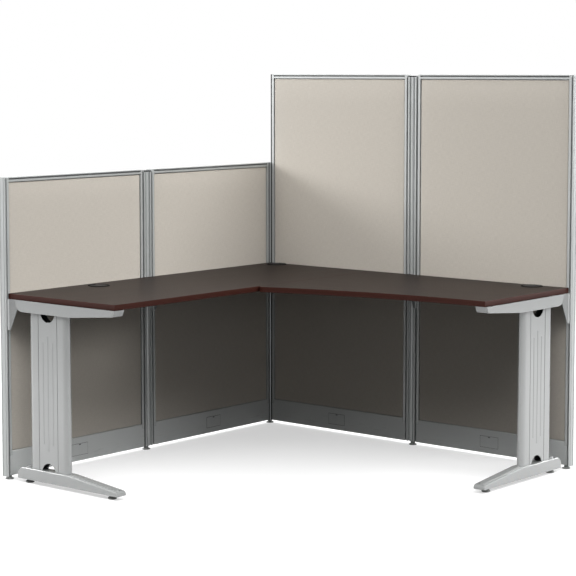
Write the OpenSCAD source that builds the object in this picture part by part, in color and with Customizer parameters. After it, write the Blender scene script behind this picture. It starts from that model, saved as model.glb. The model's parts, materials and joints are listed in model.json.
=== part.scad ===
// Cubicle workstation: two low and two tall fabric panels in an L, joined at a corner post,
// with two worktops on panel brackets and on two C-shaped end legs.
// Millimetres, +Z up, floor at z = 0. The seat side faces -Y and +X of the corner.
// The tall wall runs along X at the back, the low wall runs along Y at the left.

/* [Walls] */
// Height of the tall wall above the floor
tall_height = 1600; // [1300:1:1900]
// Height of the low wall above the floor
low_height = 1201; // [900:1:1400]
// Gap between the floor and the underside of the walls
floor_gap = 17; // [12:1:30]
// Length of each panel frame
frame_length = 758; // [500:1:1000]
// Thickness of each panel frame
frame_depth = 36; // [28:1:50]
// Width of the dark groove between a frame and a post
side_groove = 8.5; // [5:0.5:14]
// Width of a middle post along the wall
post_width = 43; // [30:1:60]
// Depth of a post and of an end trim across the wall
post_depth = 38; // [30:1:60]
// How far the middle post stops below the panel tops
post_drop = 5; // [0:1:12]
// Side of the square corner post
corner_size = 40; // [30:1:60]
// Radius of the outer corner of the corner post
corner_round = 8; // [3:1:14]

/* [Panel frame] */
// Width of the side stile seen from the front
stile_face = 11; // [8:1:20]
// Height of the lip along the top of the frame
cap_lip = 4; // [2:1:8]
// Height of the groove below that lip
cap_groove = 6; // [3:1:10]
// Depth of that groove
cap_groove_depth = 5; // [2:1:9]
// Height of the strip below the groove
cap_strip = 8; // [5:1:14]
// Width of the shadow gap round a fabric board
board_gap = 4.5; // [2:0.5:8]
// Thickness of a fabric board
board_depth = 30; // [20:1:36]
// Thickness of the tongue that carries the board
tongue_depth = 10; // [6:1:14]
// How far the tongue reaches into the board
tongue_reach = 6; // [3:1:10]
// Depth across the wall of the hidden tongues between frames and posts
link_depth = 16; // [10:1:24]
// Rounding of the fabric board's long edges
board_round = 3; // [1:0.5:6]

/* [Raceway] */
// Height of the top edge of the raceway covers
raceway_top = 115.5; // [90:0.5:160]
// Height up to which a cover runs over the stiles
raceway_step = 96; // [60:1:110]
// Thickness of a raceway cover
cover_wall = 3.5; // [2:0.5:6]
// Bevel along the top edge of a raceway cover
cover_bevel = 2; // [0.5:0.5:3]
// How far a raceway cover rises past its upper rail
cover_lap = 2.5; // [0.5:0.5:4]
// Height of the rails above and below the raceway
rail_height = 11; // [8:1:20]
// Width of an outlet plate
plate_width = 91; // [70:1:120]
// Height of an outlet plate
plate_height = 49; // [35:1:60]
// Height of the lower edge of an outlet plate
plate_low = 40; // [30:1:55]
// Thickness of the rim of an outlet plate
plate_rim = 1; // [0.5:0.5:3]
// Overlap of the outlet plate round its hole
plate_lap = 3; // [2:0.5:6]
// Width of the finger notch of an outlet plate
notch_width = 11; // [6:1:20]
// Height of the finger notch
notch_height = 3.5; // [2:0.5:6]

/* [Posts and trims] */
// Width of the outer flange of a middle post
flange_width = 7; // [5:0.5:10]
// Radius of the round rib of a middle post
rib_radius = 8.5; // [6:0.5:10]
// Half depth of the core of a middle post
core_half = 12; // [8:0.5:14]
// Wall between the rib and the hollow of the post
hollow_wall = 2.5; // [1.5:0.5:4]
// Height at which the hollow of a post starts
hollow_start = 70; // [60:1:120]
// Diameter of the pin hole near the foot of a post
pin_hole = 5; // [3:0.5:7]
// Height of the pin hole
pin_height = 33; // [28:1:60]
// Depth of the pin hole
pin_depth = 6; // [3:0.5:8]
// Groove between the last frame and the end trim
end_groove = 7; // [4:0.5:12]
// Thickness of the end trim
trim_wall = 3.5; // [2:0.5:8]
// Rounding of the outer corners of the end trim
trim_round = 3; // [1:0.5:3.5]
// Height of the lower end of the end trim
trim_low = 12; // [8:1:17]
// Distance of each flute of the end trim from its middle
flute_offset = 10; // [6:0.5:14]
// Width of a flute
flute_width = 4; // [2:0.5:6]
// Depth of a flute
flute_depth = 1.5; // [0.5:0.5:3]
// Depth across the wall of the strips beside the corner post
strip_depth = 33; // [20:1:38]

/* [Worktops] */
// Height of the worktop surface
worktop_height = 744.5; // [680:0.5:800]
// Thickness of a worktop
worktop_wall = 22; // [16:1:30]
// Clearance between the worktops and the walls
worktop_gap = 1; // [0.5:0.5:5]
// Depth of the left worktop
left_depth = 590; // [450:1:750]
// Depth of the right worktop at its right end
right_depth = 596; // [450:1:750]
// How far the worktops end before the walls do
wing_set_back = 11; // [5:0.5:14]
// How much deeper the right worktop is at the joint
bow_drop = 186; // [100:1:250]
// Radius of the front corner of the right worktop at the joint
bow_corner = 24; // [10:1:40]
// Thickness of the edge band
band_wall = 2; // [1:0.5:3]
// Diameter of the cable hole under a grommet
cable_hole = 80; // [60:1:86]
// Outer diameter of a grommet ring
ring_width = 90; // [82:1:100]
// Height of a grommet ring above the worktop
ring_height = 3; // [2:0.5:6]
// Wall of the grommet ring's sleeve
ring_wall = 3; // [2:0.5:5]
// Clearance between a grommet sleeve and its hole
ring_fit = 0.5; // [0.3:0.1:1]
// Length of the grommet sleeve inside the worktop
sleeve_length = 18; // [10:1:21]
// Thickness of a grommet cap
cap_wall = 3; // [2:0.5:5]
// How far the cap sits below the ring's rim
cap_sink = 1; // [0.5:0.5:2]
// Diameter of the cable slot in a grommet cap
cap_slot = 26; // [16:1:36]
// Distance of the corner grommet and the left one from the left wall's centre
grommet_side = 97.5; // [70:0.5:150]
// Distance of the corner grommet and the right one from the tall wall's centre
grommet_back = 67; // [66:0.5:120]
// Distance of the left grommet from the left worktop's end
grommet_left_inset = 419; // [250:1:500]
// Distance of the right grommet from the right worktop's end
grommet_right_inset = 145; // [110:1:250]

/* [Wall brackets] */
// Height of a wall bracket
bracket_height = 122; // [80:1:160]
// Reach of a bracket's gusset under the worktop, from the wall's centre
bracket_reach = 93; // [64:1:110]
// Distance of the gusset's lower corner from the wall's centre
bracket_toe = 35.5; // [30:0.5:50]
// Rounding of that corner
bracket_round = 8; // [2:1:9]
// Depth of the doubled root of a bracket in front of the groove
bracket_root = 9; // [4:0.5:12]
// Thickness of that root
bracket_root_wall = 5; // [4:0.5:6]
// Thickness of bracket steel
bracket_wall = 3; // [2:0.5:4]
// Width of the flange under the worktop
bracket_flange = 24; // [15:1:26]
// Reach of the flange under the worktop, from the wall's centre
flange_reach = 62; // [50:1:63]
// Clearance between an end bracket and a leg's arm
arm_fit = 0.7; // [0.4:0.1:1.5]

/* [Legs] */
// Distance of a leg's middle from the worktop's end
leg_inset = 21; // [15:1:60]
// Distance of the column's middle from the wall's centre
column_middle = 236; // [180:1:300]
// Width of the column
column_width = 218; // [160:1:260]
// Thickness of the column
column_depth = 32; // [24:1:50]
// Wall thickness of the pressed steel parts
steel_wall = 2.5; // [1.5:0.5:4]
// Width of the clip-on cable cover
cable_cover = 105; // [80:1:130]
// Thickness of the cable cover
cable_cover_wall = 3; // [2:0.5:5]
// Clearance line round the cable cover
cover_line = 0.8; // [0.3:0.1:1.5]
// Radius of the cable hole at the head of the column
head_hole = 40; // [25:1:45]
// Diameter of the hole through the column's two inner webs
web_hole = 12; // [6:1:20]
// Height of the centre of the head hole above the column's top
head_hole_rise = 8; // [0:1:20]
// Radius of the cable hole at the foot of the column
foot_hole = 38; // [25:1:45]
// Depth of the centre of the foot hole below the column's foot
foot_hole_sink = 8; // [0:1:20]
// Width of a raised bead on the cable cover
bead_width = 7; // [4:0.5:10]
// How far a bead stands out of the cable cover
bead_rise = 1.5; // [0.5:0.5:2]
// Spacing of the beads
bead_pitch = 27; // [15:1:35]
// Height of the lower end of the side beads
bead_low = 165; // [120:1:220]
// Height of the upper end of the side beads
bead_high = 570; // [500:1:620]
// How much longer the middle bead is at each end
bead_extra = 25; // [0:1:60]

/* [Leg arm] */
// Width of the arm
arm_width = 56; // [40:1:70]
// Distance of the arm's rear end from the wall's centre
arm_rear = 64; // [60:1:120]
// Distance of the arm's front end from the wall's centre
arm_front = 615; // [500:1:700]
// Depth of the arm over the column
arm_drop = 45.5; // [30:0.5:70]
// Height of the arm's front end
arm_nose = 25; // [15:1:40]
// Radius of the arm's rear lower corner
arm_round = 38; // [15:1:42]
// Radius of the arm's front lower corner
arm_nose_round = 9; // [3:1:15]
// Distance from the wall's centre where the arm's underside starts to rise
arm_bend = 372; // [350:1:450]
// Set-back of the arm's nose at its lower edge
arm_rake = 12; // [0:1:30]

/* [Leg foot] */
// Width of the foot
foot_width = 52; // [40:1:70]
// Distance of the foot's rear end from the wall's centre
foot_rear = 64; // [60:1:120]
// Distance of the foot's front tip from the wall's centre
foot_front = 618; // [500:1:700]
// Height of the underside of the foot
foot_low = 16; // [12:1:25]
// Height of the foot's flat top under the column
foot_top = 62; // [50:1:80]
// Height of the foot's top near the tip
foot_tip = 33; // [25:1:50]
// Distance from the wall's centre where the foot's top starts to fall
foot_bend = 350; // [345:1:450]
// Radius of the foot's rear upper corner
foot_round = 34; // [10:1:40]
// Radius of the foot's tip
foot_tip_round = 15; // [5:1:16]
// Width of the raised rib on the foot
foot_rib = 24; // [12:1:36]
// Height of that rib
foot_rib_height = 4; // [2:0.5:8]
// Distance of that rib's end from the foot's tip
foot_rib_end = 18; // [10:1:40]
// Length of the rib behind the column
foot_rear_rib = 29; // [26:1:36]

/* [Glides] */
// Diameter of a leg glide
leg_glide = 34; // [25:1:45]
// Height of a leg glide's pad
leg_pad = 9; // [5:1:14]
// Distance of the rear leg glide from the wall's centre
glide_rear = 110; // [90:1:150]
// Distance of the front leg glide from the wall's centre
glide_front = 569; // [500:1:600]
// Diameter of a wall glide
wall_glide = 35; // [25:1:45]
// Height of a wall glide's pad
wall_pad = 6; // [4:1:10]
// Diameter of a glide's stem
stem = 10; // [6:1:14]
// Running clearance round a glide's stem
stem_fit = 0.05; // [0.02:0.01:0.1]
// Length of the stem inside a post or a frame
stem_reach = 32; // [20:1:45]
// Length of the stem inside a foot
leg_stem_reach = 15; // [13:1:16]
// Distance of an end glide from the end of its frame
glide_inset = 11.5; // [8:0.5:20]
// Free depth above a glide's stem
stem_space = 6; // [2:1:10]

/* [Plates and screws] */
// Length of a joining plate across the seam
plate_long = 120; // [80:1:200]
// Width of a joining plate
plate_wide = 60; // [40:1:100]
// Distance of the rear joining plate from the tall wall's centre
rear_plate_place = 180; // [100:1:300]
// Distance of the front joining plate from the tall wall's centre
front_plate_place = 640; // [450:1:700]
// Diameter of a screw head
screw_head = 9; // [6:0.5:12]
// Height of a screw head
screw_head_height = 3; // [2:0.5:5]
// Diameter of a screw shank
screw_shank = 4; // [3:0.5:6]
// Length of a screw in the worktop
screw_bite = 14; // [10:1:18]

/* [Hidden] */
// How far a cutting shape runs past the face it cuts
over = 1;
// Segments of a quarter round
quarter_steps = 10;
// Facets of a round hole or shaft
round_facets = 64;
// Shares of a length taken by its half and its quarter
half_share = 1 / 2;
quarter_share = 1 / 4;
// Angles used for turned and mirrored pieces
right_angle = 90;
straight_angle = 180;
flat_drop = worktop_height - worktop_wall;
corner_half = corner_size * half_share;
frame_half = frame_depth * half_share;
board_half = board_depth * half_share;
post_half = post_depth * half_share;
wide_half = post_width * half_share;
link_half = link_depth * half_share;
tongue_half = tongue_depth * half_share;
// Starts and ends along each wall, from the corner post's centre
inner_start = corner_half + side_groove;
inner_end = inner_start + frame_length;
mid_place = inner_end + side_groove + wide_half;
outer_start = mid_place + wide_half + side_groove;
outer_end = outer_start + frame_length;
trim_start = outer_end + end_groove;
wall_end = trim_start + trim_wall;
// Worktops, legs and glides keep their distance from the end of the walls
wing_length = wall_end - wing_set_back;
leg_place = wing_length - leg_inset;
glide_end = outer_end - glide_inset;
grommet_left = wing_length - grommet_left_inset;
grommet_right = wing_length - grommet_right_inset;
// The whole footprint is centred on the origin
shift = (wall_end - corner_half) * half_share;
cap_height = cap_lip + cap_groove + cap_strip;
rail_top = raceway_top - cover_lap;
rail_low = rail_top - rail_height;
board_low = rail_top + board_gap;
// Worktop outline in the corner's own axes
edge_in = post_half + worktop_gap;
joint_line = edge_in + left_depth;
front_line = edge_in + right_depth;
bow_span = wing_length - joint_line;
bow_radius = (bow_span * bow_span + bow_drop * bow_drop) / (bow_drop * 2);
bow_back = front_line + bow_radius;
// Grommet: the sleeve fits the cable hole, and the cap turns on a ledge inside the ring
sleeve = cable_hole - ring_fit * 2;
ring_bore = sleeve - ring_wall * 2;
cap_disc = ring_bore - ring_fit * 2;
cap_rest = ring_height - cap_sink - cap_wall;
// Column and foot of a leg
column_half = column_depth * half_share;
column_rear = column_middle - column_width * half_share;
column_front = column_middle + column_width * half_share;
column_top = flat_drop - arm_drop;
window = cable_cover + cover_line * 2;
// Corners of the side outlines of the arm and the foot, from the wall outwards
arm_corners = [
    [arm_rear, flat_drop],
    [arm_rear, column_top],
    [arm_bend, column_top],
    [arm_front - arm_rake, flat_drop - arm_nose],
    [arm_front, flat_drop]
];
foot_corners = [
    [foot_front, foot_low],
    [foot_front, foot_tip],
    [foot_bend, foot_top],
    [foot_rear, foot_top],
    [foot_rear, foot_low]
];
arm_radii = [0, arm_round, 0, arm_nose_round, 0];
foot_radii = [0, foot_tip_round, 0, foot_round, 0];
rib_gap = cover_line;
ledge_width = cover_line * 2 + steel_wall * 4;
strap_places = [arm_rear + arm_round + bracket_flange, arm_front - arm_round - bracket_flange];
plate_places = [rear_plate_place, front_plate_place];
groove_low = mid_place - wide_half - side_groove * half_share;
groove_high = mid_place + wide_half + side_groove * half_share;
groove_end = outer_end + end_groove * half_share;

// Every wall piece is drawn in wall axes: x runs along the wall from the corner post,
// y points out of the wall to the seat side, z is up.
module on_corner() {
    translate([-shift, shift, 0]) children();
}

module on_left_flat() {
    rotate([0, 0, -right_angle]) children();
}

module on_right_flat() {
    mirror([0, 1, 0]) children();
}

module on_left() {
    on_corner() on_left_flat() children();
}

module on_right() {
    on_corner() on_right_flat() children();
}

// Points of a quarter round from one angle to another
function arc_points(x, y, r, from, to) = [
    for (i = [0 : quarter_steps])
        let (a = from + (to - from) * i / quarter_steps)
        [x + r * cos(a), y + r * sin(a)]
];

// A bar along z with a rounded rectangle as its section
module rounded_bar(width, depth, height, r) {
    linear_extrude(height) polygon(concat(
        arc_points(width - r, depth - r, r, 0, right_angle),
        arc_points(r, depth - r, r, right_angle, straight_angle),
        arc_points(r, r, r, straight_angle, straight_angle + right_angle),
        arc_points(width - r, r, r, -right_angle, 0)
    ));
}

function unit(v) = v / norm(v);

// Points of the arc that rounds one corner of an outline
function corner_points(before, corner, after, r) =
    r <= 0 ? [corner] :
    let (
        a = unit(before - corner),
        b = unit(after - corner),
        half = acos(a * b) * half_share,
        centre = corner + unit(a + b) * r / sin(half),
        from = corner + a * r / tan(half) - centre,
        to = corner + b * r / tan(half) - centre
    )
    [for (i = [0 : quarter_steps]) centre + unit(from * (quarter_steps - i) + to * i) * r];

// An outline whose corners are rounded, each with its own radius
function soft_outline(points, radii) = [
    for (i = [0 : len(points) - 1])
        each corner_points(
            points[(i + len(points) - 1) % len(points)],
            points[i],
            points[(i + 1) % len(points)],
            radii[i]
        )
];

// A side view, drawn with its first axis out of the wall and its second one up,
// given a width along the wall
module side_shape(points, width) {
    translate([-width * half_share, 0, 0]) rotate([right_angle, 0, right_angle])
        linear_extrude(width) polygon(points);
}

// Blind hole for a glide's stem, from the underside of a piece
module stem_hole(x, y, z) {
    translate([x, y, z - over])
        cylinder(h = stem_reach + stem_space + over, d = stem + stem_fit * 2, $fn = round_facets);
}

module post_section(x0, width, depth_half, height) {
    translate([x0, -depth_half, floor_gap]) cube([width, depth_half * 2, height - floor_gap]);
}

// Middle post: flanges, round ribs, grooves between them and an open hollow
module mid_post(height) {
    top = height - post_drop;
    tall = top - floor_gap;
    rib_place = post_half - rib_radius;
    hole = rib_radius - hollow_wall;
    difference() {
        union() {
            post_section(mid_place - wide_half, post_width, core_half, top);
            post_section(mid_place - wide_half - side_groove, post_width + side_groove * 2, link_half, top);
            post_section(mid_place - wide_half, flange_width, post_half, top);
            post_section(mid_place + wide_half - flange_width, flange_width, post_half, top);
            for (side = [-1, 1])
                translate([mid_place, side * rib_place, floor_gap])
                    cylinder(h = tall, r = rib_radius, $fn = round_facets);
        }
        translate([mid_place - hole, -rib_place, hollow_start])
            cube([hole * 2, rib_place * 2, top - hollow_start + over]);
        for (side = [-1, 1])
            translate([mid_place, side * rib_place, hollow_start])
                cylinder(h = top - hollow_start + over, r = hole, $fn = round_facets);
        for (side = [-1, 1])
            translate([mid_place, side * (post_half + over), pin_height])
                rotate([side * right_angle, 0, 0])
                    cylinder(h = pin_depth + over, d = pin_hole, $fn = round_facets);
        stem_hole(mid_place, 0, floor_gap);
    }
}

module corner_post() {
    color("Silver") on_corner() difference() {
        translate([-corner_half, -corner_half, floor_gap])
            rounded_bar(corner_size, corner_size, low_height - floor_gap, corner_round);
        stem_hole(0, 0, floor_gap);
    }
}

module mid_post_low() {
    color("Silver") on_left() mid_post(low_height);
}

module mid_post_tall() {
    color("Silver") on_right() mid_post(tall_height);
}

// End trim: a fluted face plate and the tongue that joins it to the last frame
module end_trim(height) {
    r = min(trim_round, trim_wall);
    difference() {
        union() {
            translate([0, 0, trim_low]) linear_extrude(height - trim_low) polygon(concat(
                [[trim_start, -post_half]],
                arc_points(wall_end - r, r - post_half, r, -right_angle, 0),
                arc_points(wall_end - r, post_half - r, r, 0, right_angle),
                [[trim_start, post_half]]
            ));
            translate([outer_end, -link_half, floor_gap])
                cube([end_groove + trim_wall * half_share, link_depth, height - floor_gap]);
        }
        for (side = [-1, 1])
            translate([
                wall_end - flute_depth,
                side * flute_offset - flute_width * half_share,
                trim_low - over
            ])
                cube([flute_depth + over, flute_width, height - trim_low + over * 2]);
    }
}

module end_trim_low() {
    color("Silver") on_left() end_trim(low_height);
}

module end_trim_tall() {
    color("Silver") on_right() end_trim(tall_height);
}

// Dark strip that closes the gap between the corner post and a frame
module corner_strip(height) {
    translate([corner_half, -strip_depth * half_share, floor_gap])
        cube([side_groove, strip_depth, height - floor_gap]);
}

module corner_strip_low() {
    color("DimGray") on_left() corner_strip(low_height);
}

module corner_strip_tall() {
    color("DimGray") on_right() corner_strip(tall_height);
}

// Panel frame: stiles, grooved top rail, raceway rails and the tongue that holds the board
module panel_frame(start, height, glide_place) {
    lap = stile_face * half_share;
    span = frame_length - stile_face;
    rail_lap = rail_height * half_share;
    opening_edge = board_gap + tongue_reach;
    opening_low = rail_top + opening_edge;
    opening_high = height - cap_height - opening_edge;
    ring_top = height - cap_height + cap_strip * half_share;
    translate([start, 0, 0]) difference() {
        union() {
            for (x = [0, frame_length - stile_face]) {
                translate([x, -frame_half, raceway_step])
                    cube([stile_face, frame_depth, height - raceway_step]);
                translate([x, -board_half, floor_gap]) cube([stile_face, board_depth, height - floor_gap]);
            }
            translate([lap, -frame_half, height - cap_height]) difference() {
                cube([span, frame_depth, cap_height]);
                for (y = [-over, frame_depth - cap_groove_depth])
                    translate([-over, y, cap_strip])
                        cube([span + over * 2, cap_groove_depth + over, cap_groove]);
            }
            for (z = [rail_low, floor_gap])
                translate([lap, -board_half, z]) cube([span, board_depth, rail_height]);
            // Tongue ring round the board's opening, rooted in the stiles, the cap and a rail
            difference() {
                translate([lap, -tongue_half, rail_top - rail_lap])
                    cube([span, tongue_depth, ring_top - rail_top + rail_lap]);
                translate([stile_face + opening_edge, -tongue_half - over, opening_low])
                    cube([
                        frame_length - (stile_face + opening_edge) * 2,
                        tongue_depth + over * 2,
                        opening_high - opening_low
                    ]);
            }
            // Block that takes the end glide's stem
            if (glide_place > 0)
                translate([frame_length - stile_face - stem * 2, -board_half, floor_gap])
                    cube([stem * 2 + stile_face, board_depth, stem_reach + stem_space * 2]);
        }
        if (glide_place > 0) stem_hole(glide_place - start, 0, floor_gap);
    }
}

module frame_low_inner() {
    color("LightGray") on_left() panel_frame(inner_start, low_height, 0);
}

module frame_low_outer() {
    color("LightGray") on_left() panel_frame(outer_start, low_height, glide_end);
}

module frame_tall_inner() {
    color("LightGray") on_right() panel_frame(inner_start, tall_height, 0);
}

module frame_tall_outer() {
    color("LightGray") on_right() panel_frame(outer_start, tall_height, glide_end);
}

// Fabric board with a slot all round for the frame's tongue
module fabric_board(start, height) {
    inset = stile_face + board_gap;
    long = frame_length - inset * 2;
    tall = height - cap_height - board_gap - board_low;
    translate([start + inset, 0, board_low]) difference() {
        translate([0, -board_half, 0]) rounded_bar(long, board_depth, tall, board_round);
        difference() {
            translate([-over, -tongue_half, -over]) cube([long + over * 2, tongue_depth, tall + over * 2]);
            translate([tongue_reach, -tongue_half - over, tongue_reach])
                cube([long - tongue_reach * 2, tongue_depth + over * 2, tall - tongue_reach * 2]);
        }
    }
}

module board_low_inner() {
    color("Tan") on_left() fabric_board(inner_start, low_height);
}

module board_low_outer() {
    color("Tan") on_left() fabric_board(outer_start, low_height);
}

module board_tall_inner() {
    color("Tan") on_right() fabric_board(inner_start, tall_height);
}

module board_tall_outer() {
    color("Tan") on_right() fabric_board(outer_start, tall_height);
}

// Raceway cover: full length below the stiles, between them above
module raceway_cover(start) {
    low_part = raceway_step - floor_gap - cover_line;
    translate([start, board_half, floor_gap]) {
        cube([frame_length, cover_wall, low_part]);
        translate([stile_face + cover_line, 0, low_part - over])
            cube([
                frame_length - (stile_face + cover_line) * 2,
                cover_wall,
                raceway_top - floor_gap - low_part - cover_bevel + over
            ]);
        translate([stile_face + cover_line, 0, raceway_top - floor_gap - cover_bevel - over])
            rotate([right_angle, 0, right_angle])
                linear_extrude(frame_length - (stile_face + cover_line) * 2)
                    polygon([
                        [0, 0],
                        [cover_wall, 0],
                        [cover_wall, over],
                        [cover_wall - cover_bevel, cover_bevel + over],
                        [0, cover_bevel + over]
                    ]);
    }
}

// The front cover has a hole for the outlet plate in its middle
module raceway_front(start) {
    difference() {
        raceway_cover(start);
        translate([
            start + (frame_length - plate_width) * half_share + plate_lap,
            board_half - over,
            plate_low + plate_lap
        ])
            cube([plate_width - plate_lap * 2, cover_wall + over * 2, plate_height - plate_lap * 2]);
    }
}

module raceway_back(start) {
    mirror([0, 1, 0]) raceway_cover(start);
}

module raceway_front_low_inner() {
    color("Gray") on_left() raceway_front(inner_start);
}

module raceway_front_low_outer() {
    color("Gray") on_left() raceway_front(outer_start);
}

module raceway_front_tall_inner() {
    color("Gray") on_right() raceway_front(inner_start);
}

module raceway_front_tall_outer() {
    color("Gray") on_right() raceway_front(outer_start);
}

module raceway_back_low_inner() {
    color("Gray") on_left() raceway_back(inner_start);
}

module raceway_back_low_outer() {
    color("Gray") on_left() raceway_back(outer_start);
}

module raceway_back_tall_inner() {
    color("Gray") on_right() raceway_back(inner_start);
}

module raceway_back_tall_outer() {
    color("Gray") on_right() raceway_back(outer_start);
}

// Outlet plate: a rim on the cover, a body in its hole and a finger notch at the top
module outlet_plate(start) {
    body = plate_lap + cover_line;
    translate([start + (frame_length - plate_width) * half_share, board_half, plate_low]) difference() {
        union() {
            translate([0, cover_wall, 0]) cube([plate_width, plate_rim, plate_height]);
            translate([body, 0, body])
                cube([
                    plate_width - body * 2,
                    cover_wall + plate_rim * half_share,
                    plate_height - body * 2
                ]);
        }
        translate([
            (plate_width - notch_width) * half_share,
            cover_wall - plate_rim,
            plate_height - plate_lap - notch_height
        ])
            cube([notch_width, plate_rim * 2 + over, notch_height]);
    }
}

module outlet_plate_low_inner() {
    color("Gray") on_left() outlet_plate(inner_start);
}

module outlet_plate_low_outer() {
    color("Gray") on_left() outlet_plate(outer_start);
}

module outlet_plate_tall_inner() {
    color("Gray") on_right() outlet_plate(inner_start);
}

module outlet_plate_tall_outer() {
    color("Gray") on_right() outlet_plate(outer_start);
}

// Glides: a round pad on the floor, a nut-like collar and a stem that screws in
module glide(x, y, pad, pad_height, underside, reach) {
    translate([x, y, 0]) {
        cylinder(h = pad_height, d = pad, $fn = round_facets);
        cylinder(h = underside, d = stem * 2, $fn = round_facets);
        cylinder(h = underside + reach, d = stem, $fn = round_facets);
    }
}

module wall_glide_at(x) {
    glide(x, 0, wall_glide, wall_pad, floor_gap, stem_reach);
}

module wall_glide_corner() {
    color("DimGray") on_corner() wall_glide_at(0);
}

module wall_glide_low_mid() {
    color("DimGray") on_left() wall_glide_at(mid_place);
}

module wall_glide_low_end() {
    color("DimGray") on_left() wall_glide_at(glide_end);
}

module wall_glide_tall_mid() {
    color("DimGray") on_right() wall_glide_at(mid_place);
}

module wall_glide_tall_end() {
    color("DimGray") on_right() wall_glide_at(glide_end);
}

// Left worktop: a plain board from the tall wall to the end of the low wall
module left_outline(inset, height) {
    translate([edge_in + inset, -wing_length + inset, flat_drop])
        cube([joint_line - edge_in - inset * 2, wing_length - edge_in - inset * 2, height]);
}

// Right worktop: its front edge bows out to meet the left one, with a rounded corner there.
// The corner's circle touches the joint line and the bow.
module right_outline(inset, height) {
    x0 = joint_line + inset;
    deep = front_line + bow_drop;
    r = bow_corner - inset;
    bow = bow_radius + inset;
    corner_x = x0 + r;
    along = wing_length - corner_x;
    corner_y = sqrt((bow + r) * (bow + r) - along * along) - bow_back;
    touch_x = corner_x + along * r / (bow + r);
    translate([0, 0, flat_drop]) linear_extrude(height) difference() {
        translate([x0, -deep]) square([wing_length - inset - x0, deep - edge_in - inset]);
        translate([wing_length, -bow_back]) circle(r = bow, $fn = round_facets * 4);
        difference() {
            translate([x0 - over, -deep - over]) square([touch_x - x0 + over, deep + over + corner_y]);
            translate([corner_x, corner_y]) circle(r = r, $fn = round_facets);
        }
    }
}

module cable_holes(places) {
    for (p = places)
        translate([p[0], -p[1], flat_drop - over])
            cylinder(h = worktop_wall + over * 2, d = cable_hole, $fn = round_facets);
}

module worktop_left() {
    color("SaddleBrown") on_corner() difference() {
        left_outline(band_wall, worktop_wall);
        cable_holes([[grommet_side, grommet_back], [grommet_side, grommet_left]]);
        all_screws(true);
    }
}

module worktop_right() {
    color("SaddleBrown") on_corner() difference() {
        right_outline(band_wall, worktop_wall);
        cable_holes([[grommet_right, grommet_back]]);
        all_screws(true);
    }
}

module edge_band_left() {
    color("Maroon") on_corner() difference() {
        left_outline(0, worktop_wall);
        translate([0, 0, -over]) left_outline(band_wall, worktop_wall + over * 2);
    }
}

module edge_band_right() {
    color("Maroon") on_corner() difference() {
        right_outline(0, worktop_wall);
        translate([0, 0, -over]) right_outline(band_wall, worktop_wall + over * 2);
    }
}

// Grommet ring: a flange on the worktop, a sleeve in the hole and a ledge for the cap
module grommet_ring(x, y) {
    translate([x, -y, worktop_height]) difference() {
        union() {
            cylinder(h = ring_height, d = ring_width, $fn = round_facets);
            translate([0, 0, -sleeve_length])
                cylinder(h = sleeve_length + over, d = sleeve, $fn = round_facets);
        }
        translate([0, 0, cap_rest])
            cylinder(h = ring_height - cap_rest + over, d = ring_bore, $fn = round_facets);
        translate([0, 0, -sleeve_length - over])
            cylinder(h = sleeve_length + over * 2, d = ring_bore - ring_wall * 2, $fn = round_facets);
    }
}

module grommet_ring_left() {
    color("DimGray") on_corner() grommet_ring(grommet_side, grommet_left);
}

module grommet_ring_corner() {
    color("DimGray") on_corner() grommet_ring(grommet_side, grommet_back);
}

module grommet_ring_right() {
    color("DimGray") on_corner() grommet_ring(grommet_right, grommet_back);
}

// Grommet cap: a disc that turns on the ring's ledge, with a cable slot in its edge
module grommet_cap(x, y, turn) {
    translate([x, -y, worktop_height + cap_rest]) rotate([0, 0, turn]) difference() {
        cylinder(h = cap_wall, d = cap_disc, $fn = round_facets);
        translate([0, cap_disc * half_share, -over])
            cylinder(h = cap_wall + over * 2, d = cap_slot, $fn = round_facets);
    }
}

module grommet_cap_left() {
    color("DimGray") on_corner() grommet_cap(grommet_side, grommet_left, right_angle);
}

module grommet_cap_corner() {
    color("DimGray") on_corner() grommet_cap(grommet_side, grommet_back, 0);
}

module grommet_cap_right() {
    color("DimGray") on_corner() grommet_cap(grommet_right, grommet_back, 0);
}

// Wall bracket: a gusset in the groove beside a frame, with a doubled root in front of the groove
// and a flange under the worktop. It keeps clear of the arm of a leg.
module wall_bracket(x, way) {
    low = flat_drop - bracket_height;
    outline = [
        [link_half, flat_drop],
        [link_half, low],
        [bracket_toe, low],
        [bracket_reach, flat_drop]
    ];
    difference() {
        translate([x, 0, 0]) mirror([way < 0 ? 1 : 0, 0, 0]) {
            side_shape(soft_outline(outline, [0, 0, bracket_round, 0]), bracket_wall);
            translate([-bracket_root_wall * half_share, frame_half, low])
                cube([bracket_root_wall, bracket_root, bracket_height]);
            translate([-bracket_wall * half_share, edge_in, flat_drop - bracket_wall])
                cube([bracket_flange, flange_reach - edge_in, bracket_wall]);
        }
        translate([leg_place, 0, 0]) side_shape(soft_outline([
            [arm_rear - arm_fit, flat_drop + over],
            [arm_rear - arm_fit, column_top - arm_fit],
            [arm_bend, column_top - arm_fit],
            [arm_bend, flat_drop + over]
        ], [0, arm_round + arm_fit, 0, 0]), arm_width + arm_fit * 2);
        bracket_screw(x, way, true);
    }
}

// A screw from below: its head lies under the plate, which is as thick as given.
// As a hole it is the shank alone, and runs past both faces of the plate.
module screw(plate, hole) {
    if (!hole)
        translate([0, 0, flat_drop - plate - screw_head_height])
            cylinder(h = screw_head_height, d = screw_head, $fn = round_facets);
    translate([0, 0, flat_drop - plate - (hole ? over : screw_head_height)])
        cylinder(
            h = plate + screw_bite + (hole ? over : screw_head_height),
            d = screw_shank,
            $fn = round_facets
        );
}

module bracket_screw(x, way, hole) {
    translate([x + way * bracket_flange * half_share, (edge_in + flange_reach) * half_share, 0])
        screw(bracket_wall, hole);
}

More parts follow.
